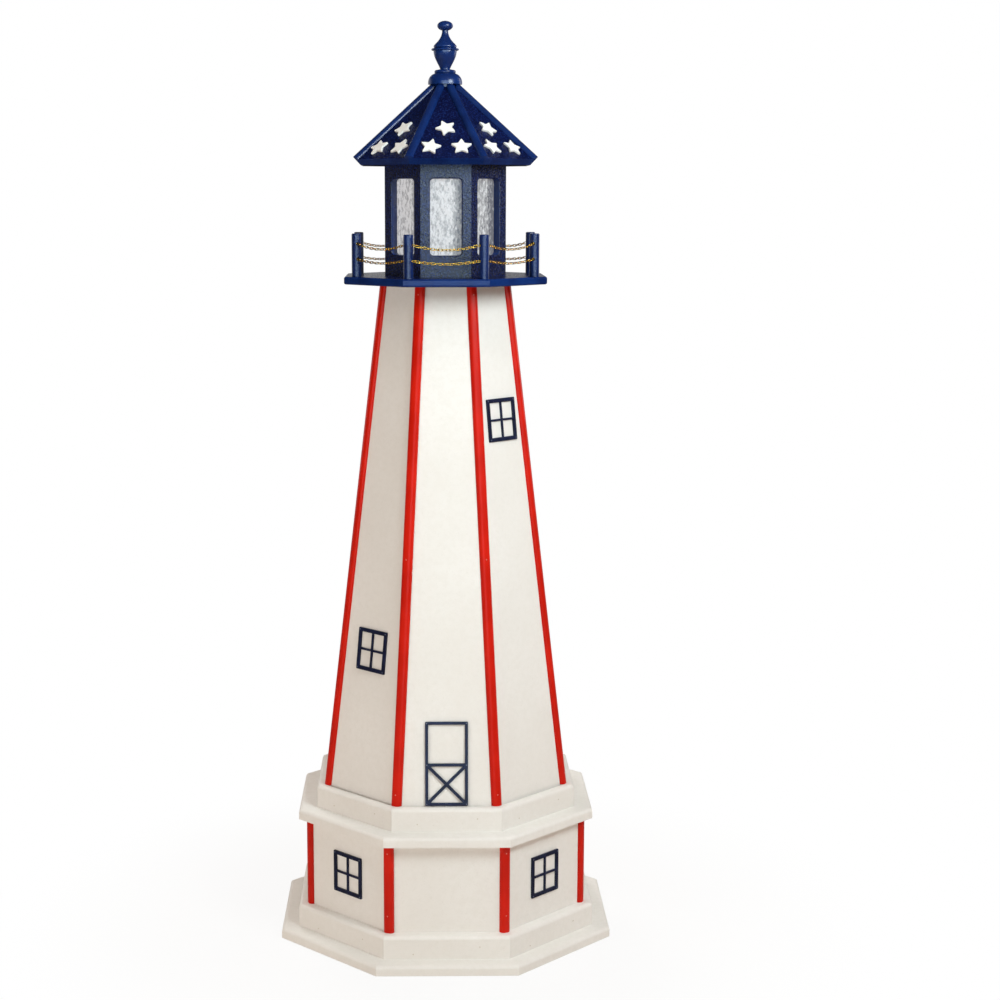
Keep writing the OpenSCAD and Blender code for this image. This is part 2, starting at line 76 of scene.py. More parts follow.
# %% [markdown]
# ## Shader maths as Python
#
# A material is a tree of nodes. Written out node by node it is hard to read, so this class wraps
# one output of a node and lets it take part in ordinary Python sums: `0.4 + 0.2 * grain` adds the
# two Math nodes. Every other kind of node comes from `node`, which sets what the node is first and
# then fills its sockets with values or links. A socket is given by its name, with an underscore
# for each space, or by its number, as in `i0`.

# %% The socket class
class Wire:
    tree = None

    def __init__(self, socket):
        self.socket = socket

    @classmethod
    def node(cls, kind, settings=(), output=0, **inputs):
        made = cls.tree.nodes.new(kind)
        for name, value in dict(settings).items():
            setattr(made, name, value)
        for name, value in inputs.items():
            by_number = name[0] == "i" and name[1:].isdigit()
            target = made.inputs[int(name[1:]) if by_number else name.replace("_", " ")]
            if isinstance(value, Wire):
                cls.tree.links.new(value.socket, target)
            else:
                target.default_value = value
        return cls(made.outputs[output]) if made.outputs else None

    def _sum(self, operation, first, second):
        return self.node("ShaderNodeMath", {"operation": operation}, i0=first, i1=second)

    def __add__(self, other):
        return self._sum("ADD", self, other)

    def __sub__(self, other):
        return self._sum("SUBTRACT", self, other)

    def __rsub__(self, other):
        return self._sum("SUBTRACT", other, self)

    def __mul__(self, other):
        return self._sum("MULTIPLY", self, other)

    def __abs__(self):
        return self._sum("ABSOLUTE", self, 0)

    def or_more(self, other):
        return self._sum("MAXIMUM", self, other)

    __radd__ = __add__
    __rmul__ = __mul__


# %% [markdown]
# The rest of a finish is the same each time: where on the piece we are, a noise of some grain
# size, a harder edge for that noise, a blend of two colours by a mask, and a bump. Sizes are given
# in metres, because the object's own coordinates are metres: a noise of size 0.003 has grains
# about 3 mm across.

# %% Noise, blends and bumps
def place_on_piece(stretch=(1, 1, 1)):
    here = Wire.node("ShaderNodeTexCoord", output="Object")
    return Wire.node("ShaderNodeMapping", Vector=here, Scale=stretch)


def noise(size, detail=2.0, roughness=0.5, stretch=(1, 1, 1)):
    return Wire.node("ShaderNodeTexNoise", Vector=place_on_piece(stretch), Scale=1 / size,
                     Detail=detail, Roughness=roughness)


def contrast(value, low, high):
    return Wire.node("ShaderNodeMapRange", {"interpolation_type": "SMOOTHSTEP"}, Value=value,
                     From_Min=low, From_Max=high)


def blend(mask, first, second):
    first, second = ((*end, 1) if isinstance(end, tuple) else end for end in (first, second))
    return Wire.node("ShaderNodeMix", {"data_type": "RGBA"}, output=2, i0=mask, i6=first, i7=second)


def bump(height, depth, strength=1.0):
    return Wire.node("ShaderNodeBump", Height=height, Distance=depth, Strength=strength)


def finish(name, paint):
    """Makes a material. paint() runs while its tree is open and returns the shader's inputs."""
    material = bpy.data.materials.new(name)
    material.use_nodes = True
    Wire.tree = material.node_tree
    Wire.tree.nodes.clear()
    surface = Wire.node("ShaderNodeBsdfPrincipled", **paint())
    Wire.node("ShaderNodeOutputMaterial", Surface=surface)
    return material


# %% [markdown]
# ## White boards
#
# The white boards are dense plastic sheet. From a metre away they look like painted wood, but
# there is no grain: only a faint cloudiness, a mottled skin with the ripple of an orange peel, and
# a soft sheen. The colour is a warm white, a little below paper white, so that it can still
# brighten under the lamps.

# %% White board
def paint_white_board():
    clouds = contrast(noise(0.19, 3), 0.35, 0.7)
    mottle = contrast(noise(0.009, 3, 0.6), 0.35, 0.7)
    specks = contrast(noise(0.0022, 1), 0.64, 0.74)
    body = blend(clouds, (0.82, 0.785, 0.735), (0.855, 0.825, 0.78))
    body = blend(mottle * 0.35, body, (0.78, 0.745, 0.69))
    return dict(Base_Color=blend(specks * 0.15, body, (0.62, 0.57, 0.51)),
                Roughness=0.34 + 0.14 * mottle, Specular_IOR_Level=0.3,
                Normal=bump(noise(0.0035, 2), 0.0002, 0.35))


white_board = finish("white_board", paint_white_board)
print("made", white_board.name)

# %% [markdown]
# ## Navy boards
#
# The navy sheet has a pebbled skin, pressed in by the rollers that made it. The pebbles are two or
# three millimetres across, and each mirrors another part of the room, so that a lit face looks
# slate blue with bright crumbs, and a face in shade almost black. Here the bright crumbs are
# painted glints: light blue specks in the colour itself. Where the sheet is sawn or routed the
# skin is gone: there the plastic is smooth, and a purer blue.
#
# One finish can show both, if it knows where the cuts are. The lighthouse is eight-sided, so a
# point's distance from the axis across the flats is the greatest of three numbers: |x|, |y|, and
# |x| + |y| over the root of two. The edge of the deck lies beyond such a distance, the routed
# openings of the lantern lie within one, and the eaves lie past a line square to the slope of the
# roof. The posts and the ribs are drawn through a die, which leaves about half of the grain, or
# less.

# %% Where a point lies on the lighthouse
def coordinates():
    split = Wire.node("ShaderNodeSeparateXYZ", Vector=place_on_piece()).socket.node
    return [Wire(output) for output in split.outputs]


def across_flats():
    x, y, _ = coordinates()
    return abs(x).or_more(abs(y)).or_more((abs(x) + abs(y)) * math.sqrt(0.5))


# %% Navy board
roof_slope = math.radians(43)
eaves_distance, eaves_height = 0.146, 1.3009
deck_half, lantern_half = 0.1655, 0.099
edge_band, skin_depth = 0.0026, 0.0012


def paint_navy(sawn=0, sheen=0.5):
    pebbles = noise(0.0024, 2, 0.6)
    clouds = contrast(noise(0.035, 3), 0.3, 0.7)
    # painted glints: light blue specks in the colour stand for pebbles that mirror the room
    painted_glints = contrast(noise(0.0025, 1), 0.50, 0.66)
    tone = blend(clouds, (0.0020, 0.0036, 0.027), (0.0032, 0.0060, 0.042))
    tone = blend(painted_glints * 0.65, tone, (0.009, 0.024, 0.13))
    cut_tone = blend(clouds, (0.0031, 0.017, 0.100), (0.0051, 0.029, 0.152))
    return dict(Base_Color=blend(sawn, tone, cut_tone), Roughness=0.16 + 0.16 * pebbles,
                Normal=bump(pebbles * (1 - 0.85 * sawn), 0.0009), Specular_IOR_Level=sheen)


def cut_at_the_eaves():
    along_slope = across_flats() * math.cos(roof_slope) - coordinates()[2] * math.sin(roof_slope)
    edge = eaves_distance * math.cos(roof_slope) - eaves_height * math.sin(roof_slope)
    return 0.6 * contrast(along_slope, edge - 0.0008, edge - 0.0003)


def cut_at_the_deck_edge():
    return 0.8 * contrast(across_flats(), deck_half - edge_band, deck_half - edge_band + 0.001)


def cut_at_the_openings():
    return 1 - contrast(across_flats(), lantern_half - skin_depth, lantern_half - skin_depth / 3)


navy_board = finish("navy_board", paint_navy)
navy_roof = finish("navy_roof", lambda: paint_navy(cut_at_the_eaves(), 0.12))
navy_deck = finish("navy_deck", lambda: paint_navy(cut_at_the_deck_edge(), 0.2))
navy_wall = finish("navy_wall", lambda: paint_navy(cut_at_the_openings()))
navy_post = finish("navy_post", lambda: paint_navy(0.5))
navy_rib = finish("navy_rib", lambda: paint_navy(0.75, 0.4))
navy_smooth = finish("navy_smooth", lambda: paint_navy(1))
print("made", navy_board.name, "and its cut kinds")

# %% [markdown]
# ## Red strips, dark frames and stars
#
# The strips on the corners are the same plastic in signal red, drawn through a die, so their fine
# lines run along their length. The window frames and the door are cut from thin navy sheet, darker
# than the roof. The stars are punched from white sheet.

# %% Strips, frames and stars
def paint_red_strip():
    lines = noise(0.004, 2, stretch=(1, 1, 0.02))
    clouds = contrast(noise(0.06, 2), 0.35, 0.7)
    return dict(Base_Color=blend(clouds, (0.54, 0.009, 0.002), (0.64, 0.013, 0.004)),
                Roughness=0.26 + 0.14 * lines, Normal=bump(lines, 0.0002, 0.3),
                Specular_IOR_Level=0.2)


def paint_dark_frame():
    clouds = contrast(noise(0.02, 2), 0.35, 0.7)
    skin = noise(0.0015, 1)
    return dict(Base_Color=blend(clouds, (0.0045, 0.0065, 0.026), (0.008, 0.012, 0.045)),
                Roughness=0.34 + 0.14 * skin, Normal=bump(skin, 0.0002, 0.4),
                Specular_IOR_Level=0.3)


def paint_star():
    clouds = contrast(noise(0.012, 2), 0.35, 0.7)
    skin = noise(0.002, 2)
    return dict(Base_Color=blend(clouds, (0.89, 0.875, 0.82), (0.93, 0.92, 0.875)),
                Roughness=0.36 + 0.12 * skin, Normal=bump(skin, 0.0002, 0.4))


red_strip = finish("red_strip", paint_red_strip)
dark_frame = finish("dark_frame", paint_dark_frame)
star_white = finish("star_white", paint_star)
print("made", red_strip.name, dark_frame.name, star_white.name)

# %% [markdown]
# ## Gold chain, rippled panes and the lamp
#
# The chain is brass wire with a bright lacquer, browner where it has tarnished. The panes are
# clear sheet with a ripple cast into it. So much light is bent about inside that the panes read as
# pale grey with upright streaks. Here that light is painted: a milky sheet whose tone stands for
# the light bent through it, with relief and tone that follow stretched noises. Painted shade makes
# it darker towards its right-hand edge, where the dark inside shows through. The bearing of a point
# round the axis, wrapped to one face, tells how near it is to that edge. The bearing itself paints
# shade over the panes on the right flank. A glow of the sheet's own tone is painted light for the
# light that falls through from the panes behind it.

# %% Chain, panes and lamp
def paint_gold_chain():
    tarnish = contrast(noise(0.006, 2), 0.4, 0.75)
    scuffs = noise(0.0012, 2)
    return dict(Base_Color=blend(tarnish, (1.0, 0.63, 0.12), (0.82, 0.42, 0.05)), Metallic=1.0,
                Roughness=0.15 + 0.12 * scuffs, Normal=bump(scuffs, 0.0001, 0.3))


def paint_rippled_pane():
    x, y, _ = coordinates()
    half_face = math.pi / 8
    bearing = Wire.node("ShaderNodeMath", {"operation": "ARCTAN2"}, i0=x, i1=y * -1)
    on_pane = Wire.node("ShaderNodeMath", {"operation": "WRAP"}, i0=bearing, i1=half_face,
                        i2=-half_face)
    # painted shade: darker towards each pane's right-hand edge and over the right flank
    painted_shade_edge = contrast(on_pane, 0.05, 0.28) + 0.35 * contrast(bearing, 0.4, 0.6)
    ripple = noise(0.0040, 4, 0.65, stretch=(1, 1, 0.5))
    streaks = contrast(noise(0.0044, 4, 0.65, stretch=(1, 1, 0.45)) - 0.25 * painted_shade_edge, 0.33, 0.55)
    # painted dark flecks, more of them near that edge
    painted_dark_flecks = contrast(noise(0.0034, 3, 0.6, stretch=(1, 1, 0.5)) + 0.22 * painted_shade_edge, 0.64, 0.76)
    # painted light: the milky tone stands for light bent through the clear sheet
    painted_through_light = blend(streaks, (0.15, 0.15, 0.155), (0.30, 0.30, 0.305))
    tone = blend(painted_dark_flecks * 0.8, painted_through_light, (0.05, 0.05, 0.06))
    # the glow is painted light for what falls through from the panes behind
    return dict(Base_Color=tone, Emission_Color=tone, Emission_Strength=1.4,
                Roughness=0.14 + 0.16 * streaks, Transmission_Weight=0.15, IOR=1.49,
                Normal=bump(ripple, 0.0012))


def paint_inner_board():
    clouds = contrast(noise(0.09, 3), 0.35, 0.7)
    return dict(Base_Color=blend(clouds, (0.66, 0.64, 0.60), (0.72, 0.70, 0.66)),
                Roughness=0.45 + 0.1 * clouds, Normal=bump(noise(0.003), 0.0002, 0.4))


def paint_lamp_plastic():
    clouds = contrast(noise(0.02), 0.4, 0.7)
    skin = noise(0.002, 2)
    return dict(Base_Color=blend(clouds, (0.74, 0.73, 0.69), (0.8, 0.79, 0.76)),
                Roughness=0.34 + 0.1 * skin, Normal=bump(skin, 0.0001, 0.4))


def paint_cap_metal():
    scuffs = noise(0.002, 3, stretch=(1, 1, 6))
    return dict(Base_Color=blend(scuffs, (0.62, 0.62, 0.63), (0.78, 0.78, 0.79)), Metallic=1.0,
                Roughness=0.24 + 0.2 * scuffs, Normal=bump(scuffs, 0.0001, 0.3))


def paint_opal_glass():
    clouds = contrast(noise(0.02, 2), 0.4, 0.7)
    return dict(Base_Color=blend(clouds, (0.86, 0.86, 0.83), (0.9, 0.9, 0.88)),
                Roughness=0.12 + 0.06 * clouds, Transmission_Weight=0.15, IOR=1.5,
                Normal=bump(clouds, 0.0001, 0.2))


gold_chain = finish("gold_chain", paint_gold_chain)
rippled_pane = finish("rippled_pane", paint_rippled_pane)
inner_board = finish("inner_board", paint_inner_board)
lamp_plastic = finish("lamp_plastic", paint_lamp_plastic)
cap_metal = finish("cap_metal", paint_cap_metal)
opal_glass = finish("opal_glass", paint_opal_glass)
print("materials:", len(bpy.data.materials))

# %% [markdown]
# ## Give the solids their finishes
#
# The CAD record names a slot for each solid. This table turns a slot into one of the finishes
# above, and a second table names the navy solids that are sawn, drawn or turned. A solid's mesh
# isn't touched: only its material slot is filled.

# %% Fill the material slots
finish_of_slot = {
    "white_board": white_board, "inner_board": inner_board, "red_trim": red_strip,
    "navy_board": navy_board, "star_white": star_white, "frame_navy": dark_frame,
    "gold_chain": gold_chain, "rippled_pane": rippled_pane, "lamp_plastic": lamp_plastic,
    "cap_metal": cap_metal, "bulb_white": opal_glass, "stud_steel": cap_metal,
}
finish_of_node = {"roof_panels": navy_roof, "deck": navy_deck, "railing_posts": navy_post,
                  "roof_ribs": navy_rib, "finial": navy_smooth, "peak_block": navy_smooth}
for row in frame["record"]["subparts"]:
    usual = finish_of_slot[row["material_slot"]]
    solid = frame["nodes"][row["node"]]
    solid.data.materials.clear()
    solid.data.materials.append(finish_of_node.get(row["node"], usual))

# %% [markdown]
# ## Finding a place on the tower
#
# Every small piece sits on one of eight faces, or on the corner between two. A face leans, or
# stands upright with a lean of 0, and has its own axes: X to the right, Y up the face and Z out of
# it. `on_face` is the matrix from those axes to the lighthouse's, so that a piece can be modelled
# flat, at the origin, and then put in its place. The place goes into the mesh, and the object stays
# unturned.

# %% Faces and places
sides = 8
turn = 2 * math.pi / sides
mitre = turn / 2


def on_face(side, distance, height, lean):
    outwards = Matrix.Rotation(side * turn - math.pi / 2, 4, "Z")
    upright = Matrix.Rotation(math.pi / 2, 4, "Z") @ Matrix.Rotation(math.pi / 2, 4, "X")
    return (outwards @ Matrix.Translation((distance, 0, height)) @ Matrix.Rotation(-lean, 4, "Y")
            @ upright)


def copy_to(master, name, places):
    """Copies a piece to each place, each copy with its own mesh, and joins them into one."""
    bpy.ops.object.select_all(action="DESELECT")
    for place in places:
        twin = bpy.data.objects.new(name, master.data.copy())
        twin.data.transform(place)
        bpy.context.scene.collection.objects.link(twin)
        twin.select_set(True)
        bpy.context.view_layer.objects.active = twin
    bpy.ops.object.join()
    joined = bpy.context.object
    joined.name = name
    print(name, len(places), "copies,", len(joined.data.polygons), "faces")
    return joined


print("faces:", sides, "of them,", round(math.degrees(turn)), "degrees apart")


# %% [markdown]
# ## Picking points and faces in edit mode
#
# An operator works on what is selected. By hand one clicks; here points or faces are picked by a
# test on where they lie. The kind of selection is set before edit mode starts, because in point
# mode Blender would also select each face whose corners happen to be selected. A new primitive is
# selected all over, and the solids are still selected too, so everything is first let go.
#
# A finished piece is shaded smooth, but a flat face beside a small bevel would then look swollen.
# The Weighted Normal modifier lets the larger face win, so that only the bevel looks round.

# %% Start a piece, pick its parts and end it
weld_distance, hair = 1e-6, 1e-5


def start_piece(add, **settings):
    bpy.ops.object.select_all(action="DESELECT")
    add(**settings)
    return bpy.context.object


def pick(piece, test, kind="points"):
    bpy.ops.object.mode_set(mode="OBJECT")
    points, faces = piece.data.vertices, piece.data.polygons
    for part in (*points, *piece.data.edges, *faces):
        part.select = False
    for index, part in enumerate(points if kind == "points" else faces):
        part.select = bool(test(index, part.co if kind == "points" else part.center))
    bpy.context.tool_settings.mesh_select_mode = (kind == "points", False, kind == "faces")
    bpy.ops.object.mode_set(mode="EDIT")


def end_piece(piece, name, soft_degrees=40):
    bpy.ops.object.mode_set(mode="EDIT")
    bpy.ops.mesh.select_all(action="SELECT")
    bpy.ops.mesh.remove_doubles(threshold=weld_distance)
    bpy.ops.mesh.normals_make_consistent(inside=False)
    bpy.ops.object.mode_set(mode="OBJECT")
    bpy.ops.object.shade_smooth_by_angle(angle=math.radians(soft_degrees))
    flat_wins = piece.modifiers.new("flat_wins", "WEIGHTED_NORMAL")
    flat_wins.keep_sharp = True
    bpy.ops.object.modifier_apply(modifier=flat_wins.name)
    piece.name = name
    return piece


# %% [markdown]
# ## Stars
#
# The stars on the roof are punched from white sheet, and the punch leaves blunt points and a
# rounded rim. A ring of ten points becomes a star when every second point is pulled in; bevelling
# the points blunts them. Extruding gives the thickness, and a bevel along the top edge gives the
# rim that catches the light.

# %% One star
star_tip, star_waist, star_thick = 0.0182, 0.0089, 0.0031
tip_round, waist_round, star_rim = 0.0028, 0.0012, 0.0006
star = start_piece(bpy.ops.mesh.primitive_circle_add, vertices=10, radius=star_tip,
                   fill_type="NGON")
pick(star, lambda index, point: index % 2 == 1)
pull = star_waist / star_tip
bpy.ops.transform.resize(value=(pull, pull, 1), center_override=(0, 0, 0))
pick(star, lambda index, point: point.length > star_waist * 1.2)
bpy.ops.mesh.bevel(offset=tip_round, segments=4, affect="VERTICES")
pick(star, lambda index, point: point.length < star_waist * 1.05)
bpy.ops.mesh.bevel(offset=waist_round, segments=2, affect="VERTICES")
bpy.ops.mesh.select_all(action="SELECT")
bpy.ops.mesh.extrude_region_move(TRANSFORM_OT_translate={"value": (0, 0, star_thick)})
pick(star, lambda index, point: point.z > star_thick / 2)
bpy.ops.mesh.bevel(offset=star_rim, segments=3, affect="EDGES")
end_piece(star, "star_master")
print("star:", len(star.data.vertices), "points")

# %% [markdown]
# Each roof panel has one star high up in the middle and two near the eaves, each turned a little
# differently, as someone who glues them on by eye leaves them.

# %% Stars on the roof
star_high, star_low, star_aside = 0.095, 0.127, 0.0243
star_places = ((0, star_high), (-star_aside, star_low), (star_aside, star_low))
star_turns = ((23, -14, 0), (30, 8, -20), (-12, 26, 5), (18, -30, 12),
              (-8, 15, 33), (27, -5, -22), (6, 31, -16), (-34, 20, -9))
places = []
for side in range(sides):
    for (across, distance), degrees in zip(star_places, star_turns[side]):
        height = eaves_height + (eaves_distance - distance) * math.tan(roof_slope)
        places.append(on_face(side, distance, height, math.pi / 2 - roof_slope)
                      @ Matrix.Translation((across, 0, 0))
                      @ Matrix.Rotation(math.radians(degrees), 4, "Z"))
stars = copy_to(star, "roof_stars_rounded", places)
bpy.data.objects.remove(star)
stars.data.materials.append(star_white)
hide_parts("roof_stars")
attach(stars, "roof")

# %% [markdown]
# ## Lantern walls
#
# A router bit has run round the outer edge of each window opening in the lantern, so the edge is
# round and not sharp. The solid has a sharp edge. Here the front wall's mesh is copied, its loose
# triangles are merged into one skin, and the ring of edges round the opening is bevelled. The
# other seven walls are that one, turned.

# %% Ease the edge of the openings
opening_half, opening_low, opening_high = 0.0255, 1.1475, 1.2700
routed = 0.0022
wall = start_piece(bpy.ops.mesh.primitive_plane_add, size=1)
wall.data = frame["nodes"]["lantern_wall_1"].data.copy()
bpy.ops.object.mode_set(mode="EDIT")
bpy.ops.mesh.select_all(action="SELECT")
bpy.ops.mesh.remove_doubles(threshold=weld_distance)
bpy.ops.mesh.dissolve_limited(angle_limit=math.radians(1))
pick(wall, lambda index, point: point.y < hair - lantern_half and abs(point.x) < opening_half
     and opening_low < point.z < opening_high)
bpy.ops.mesh.bevel(offset=routed, segments=4, affect="EDGES")
end_piece(wall, "wall_master", 50)
print("wall:", len(wall.data.polygons), "faces")

# %% Eight walls
for side in range(sides):
    eased = copy_to(wall, f"lantern_wall_eased_{side + 1}", [Matrix.Rotation(side * turn, 4, "Z")])
    eased.data.materials.clear()
    eased.data.materials.append(navy_wall)
    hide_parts(f"lantern_wall_{side + 1}")
    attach(eased, "lighthouse")
bpy.data.objects.remove(wall)

# %% [markdown]
# ## Window frames
#
# A window of the tower is a frame sawn out of thin sheet and planted on the wall. It could be four
# bars and a cross, but the real one is a single piece, so it is made as one: a flat sheet is
# scored along straight lines with the bisect operator, the four lights are sawn out, and what is
# left is thickened. The edge round each opening is then broken with a small bevel, as a router
# leaves it, and that edge catches the light.

# %% Score, saw and thicken a sheet
frame_thick, rim_round, corner_round = 0.003, 0.0006, 0.0015


def start_sheet(width, height):
    sheet = start_piece(bpy.ops.mesh.primitive_plane_add, size=1)
    bpy.ops.object.mode_set(mode="EDIT")
    bpy.ops.mesh.select_all(action="SELECT")
    bpy.ops.transform.resize(value=(width, height, 1))
    return sheet


def score(points, across):
    """Cuts the sheet along lines through the points, all square to the direction across."""
    for point in points:
        bpy.ops.mesh.select_all(action="SELECT")
        bpy.ops.mesh.bisect(plane_co=point, plane_no=across)


def saw_out(sheet, is_open):
    pick(sheet, lambda index, centre: is_open(centre), "faces")
    bpy.ops.mesh.delete(type="FACE")


def thicken(sheet, corner):
    pick(sheet, lambda index, point: abs(point.x) > corner.x - hair
         and abs(point.y) > corner.y - hair)
    bpy.ops.mesh.bevel(offset=corner_round, segments=3, affect="VERTICES")
    bpy.ops.mesh.select_all(action="SELECT")
    bpy.ops.mesh.extrude_region_move(TRANSFORM_OT_translate={"value": (0, 0, frame_thick)})
    pick(sheet, lambda index, centre: centre.z > frame_thick * 0.99, "faces")
    bpy.ops.mesh.region_to_loop()
    bpy.ops.mesh.bevel(offset=rim_round, segments=2, affect="EDGES")


# %% One window frame
window_w, window_h, window_bar, cross_bar = 0.066, 0.070, 0.0065, 0.0036
window = start_sheet(window_w, window_h)
for half, across in ((window_w / 2, Vector((1, 0, 0))), (window_h / 2, Vector((0, 1, 0)))):
    cuts = (window_bar - half, -cross_bar / 2, cross_bar / 2, half - window_bar)
    score([across * cut for cut in cuts], across)
saw_out(window, lambda centre: cross_bar / 2 < abs(centre.x) < window_w / 2 - window_bar
        and cross_bar / 2 < abs(centre.y) < window_h / 2 - window_bar)
thicken(window, Vector((window_w / 2, window_h / 2)))
end_piece(window, "window_master")
print("window:", len(window.data.polygons), "faces")

# %% [markdown]
# Two frames hang on the tower, the right one high and the left one low, and two on the base. The
# heights and the lean of the tower's faces repeat the CAD model's values.

# %% Window frames in their places
tower_foot_w, tower_head_w, tower_h, tower_foot_z = 0.408, 0.205, 0.878, 0.222
lean = math.atan((tower_foot_w - tower_head_w) / 2 / tower_h)
base_half, base_window_z = 0.230, 0.130
right_side, left_side = 1, 7
glue_gap = 0.0001


def tower_distance(height):
    return tower_foot_w / 2 - (height - tower_foot_z) * math.tan(lean)


tower_frames = [on_face(side, tower_distance(height), height, lean)
                for side, height in ((right_side, 0.881), (left_side, 0.501))]
base_frames = [on_face(side, base_half, base_window_z, 0) for side in (right_side, left_side)]
off_the_wall = Matrix.Translation((0, 0, glue_gap))
for name, node, spots in (("tower_window_frames", "tower_windows", tower_frames),
                          ("base_window_frames", "base_windows", base_frames)):
    planted = copy_to(window, name, [spot @ off_the_wall for spot in spots])
    planted.data.materials.append(dark_frame)
    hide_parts(node)
    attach(planted, "lighthouse")
bpy.data.objects.remove(window)

# %% [markdown]
# ## The door
#
# The door is sawn out of the same sheet: a frame with a middle bar, and a cross of two bars under
# it. The cross is scored only on the lower opening, so that its slanting lines don't run into the
# frame.

# %% Saw out the door
door_w, door_h, rail_h, door_bar = 0.070, 0.138, 0.067, 0.005
half_w, half_h = door_w / 2, door_h / 2
rail_y = rail_h - half_h
door = start_sheet(door_w, door_h)
score([(x, 0, 0) for x in (door_bar - half_w, half_w - door_bar)], (1, 0, 0))
upright_cuts = (door_bar - half_h, rail_y - door_bar / 2, rail_y + door_bar / 2, half_h - door_bar)
score([(0, y, 0) for y in upright_cuts], (0, 1, 0))
inner_w, lower_h = door_w - 2 * door_bar, rail_h - 1.5 * door_bar
cross_middle = Vector((0, door_bar + lower_h / 2 - half_h, 0))
slants = [Vector((side * lower_h, inner_w, 0)).normalized() for side in (-1, 1)]
for across in slants:
    for side in (-1, 1):
        pick(door, lambda index, centre: abs(centre.x) < inner_w / 2
             and door_bar - half_h < centre.y < rail_y - door_bar / 2, "faces")
        bpy.ops.mesh.bisect(plane_co=cross_middle + across * side * door_bar / 2, plane_no=across)


def in_opening(centre):
    in_frame = abs(centre.x) > inner_w / 2 or abs(centre.y) > half_h - door_bar
    if in_frame or abs(centre.y - rail_y) < door_bar / 2:
        return False
    off_the_cross = all(abs((centre - cross_middle).dot(across)) > door_bar / 2
                        for across in slants)
    return centre.y > rail_y or off_the_cross


saw_out(door, in_opening)
thicken(door, Vector((half_w, half_h)))
end_piece(door, "door_master")
print("door:", len(door.data.polygons), "faces")

# %% The door in its place
door_foot = 0.2601
door_place = on_face(0, tower_distance(door_foot), door_foot, lean)
planted = copy_to(door, "front_door", [door_place @ Matrix.Translation((0, half_h, glue_gap))])
planted.data.materials.append(dark_frame)
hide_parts("door_frame")
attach(planted, "lighthouse")
bpy.data.objects.remove(door)

# %% [markdown]
# ## Brads
#
# The frames, the door, the red strips and the skirts are held by brads, thin nails whose heads
# stay in sight as small dots. Each head is painted in the colour round it. On the white heads the
# paint has worn thin in places, which shows darker. On the navy and red heads those places show
# lighter, partly worn paint and partly a painted highlight where the head catches the light, and
# the red paint is a shade pinker for the same painted highlight. One head is modelled as a flat
# disc with a rounded rim, and copied to all the places, because a copied disc of a dozen sides
# costs almost nothing.

# %% One brad head
def brad_finish(name, paint_colour, wear_and_glint_colour):
    def paint():
        # worn paint in places; on the navy and red heads its lighter colour is also a painted
        # highlight
        wear_and_glint = contrast(noise(0.0006, 2), 0.4, 0.7)
        return dict(Base_Color=blend(wear_and_glint, paint_colour, wear_and_glint_colour), Metallic=0.3 * wear_and_glint,
                    Roughness=0.30 + 0.2 * wear_and_glint, Normal=bump(wear_and_glint, 0.00005, 0.3))
    return finish(name, paint)


navy_head = brad_finish("navy_head", (0.04, 0.05, 0.10), (0.22, 0.24, 0.30))
# the red heads' paint is a shade pinker than the strips: a painted highlight of a head catching the
# light
red_head = brad_finish("red_head", (0.62, 0.06, 0.04), (0.80, 0.35, 0.30))
white_head = brad_finish("white_head", (0.70, 0.66, 0.58), (0.55, 0.47, 0.36))
brad_radius, brad_thick, brad_round = 0.0012, 0.0004, 0.00025
brad = start_piece(bpy.ops.mesh.primitive_circle_add, vertices=12, radius=brad_radius,
                   fill_type="NGON")
bpy.ops.object.mode_set(mode="EDIT")
bpy.ops.mesh.select_all(action="SELECT")
bpy.ops.mesh.extrude_region_move(TRANSFORM_OT_translate={"value": (0, 0, brad_thick)})
pick(brad, lambda index, point: point.z > brad_thick / 2)
bpy.ops.mesh.bevel(offset=brad_round, segments=2, affect="EDGES")
end_piece(brad, "brad_master")
print("brad:", len(brad.data.vertices), "points")

# %% [markdown]
# The heads sit in the corners of the frames and at both ends of the door's middle bar, near the
# ends of each strip and halfway up the long ones, and two to a board on the skirts.

# %% Brads in their places
def beside(spot, x, y, z):
    return spot @ Matrix.Translation((x, y, z))


frame_top, strip_top = frame_thick + glue_gap, 0.0041
window_brad_x, window_brad_y = 0.0298, 0.0318
door_brad_x, door_brad_heights = 0.0325, (0.0025, 0.067, 0.1355)
frame_brads = [beside(spot, x * window_brad_x, y * window_brad_y, frame_top)
               for spot in tower_frames + base_frames for x in (-1, 1) for y in (-1, 1)]
frame_brads += [beside(door_place, x * door_brad_x, y, frame_top)
                for x in (-1, 1) for y in door_brad_heights]

corner_lean = math.atan(math.tan(lean) / math.cos(mitre))
tower_brad_heights, base_brad_heights = (0.278, 0.66, 1.085), (0.084, 0.19)
strip_brads = [beside(on_face(side + 0.5, tower_distance(z) / math.cos(mitre), z, corner_lean),
                      0, 0, strip_top) for side in range(sides) for z in tower_brad_heights]
strip_brads += [beside(on_face(side + 0.5, base_half / math.cos(mitre), z, 0), 0, 0, strip_top)
                for side in range(sides) for z in base_brad_heights]

lower_skirt_half, upper_skirt_half = 0.2491, 0.2168
skirt_spots = ((lower_skirt_half, 0.025, -0.055), (lower_skirt_half, 0.037, 0.0535),
               (upper_skirt_half, 0.234, -0.048), (upper_skirt_half, 0.243, 0.05))
skirt_brads = [beside(on_face(side, distance, height, 0), across, 0, 0)
               for side in range(sides) for distance, height, across in skirt_spots]
for name, spots, paint, slot in (("frame_brads", frame_brads, navy_head, "frame_navy"),
                                 ("strip_brads", strip_brads, red_head, "red_trim"),
                                 ("skirt_brads", skirt_brads, white_head, "white_board")):
    heads = copy_to(brad, name, spots)
    heads.data.materials.append(paint)
    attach(heads, "lighthouse")
bpy.data.objects.remove(brad)

# %% [markdown]
# ## The bulb
#
# The glass of a bulb swells from a narrow neck to a ball in one unbroken curve. Half of its
# outline is drawn point by point and spun round the axis, as a glassblower's mould would shape it.

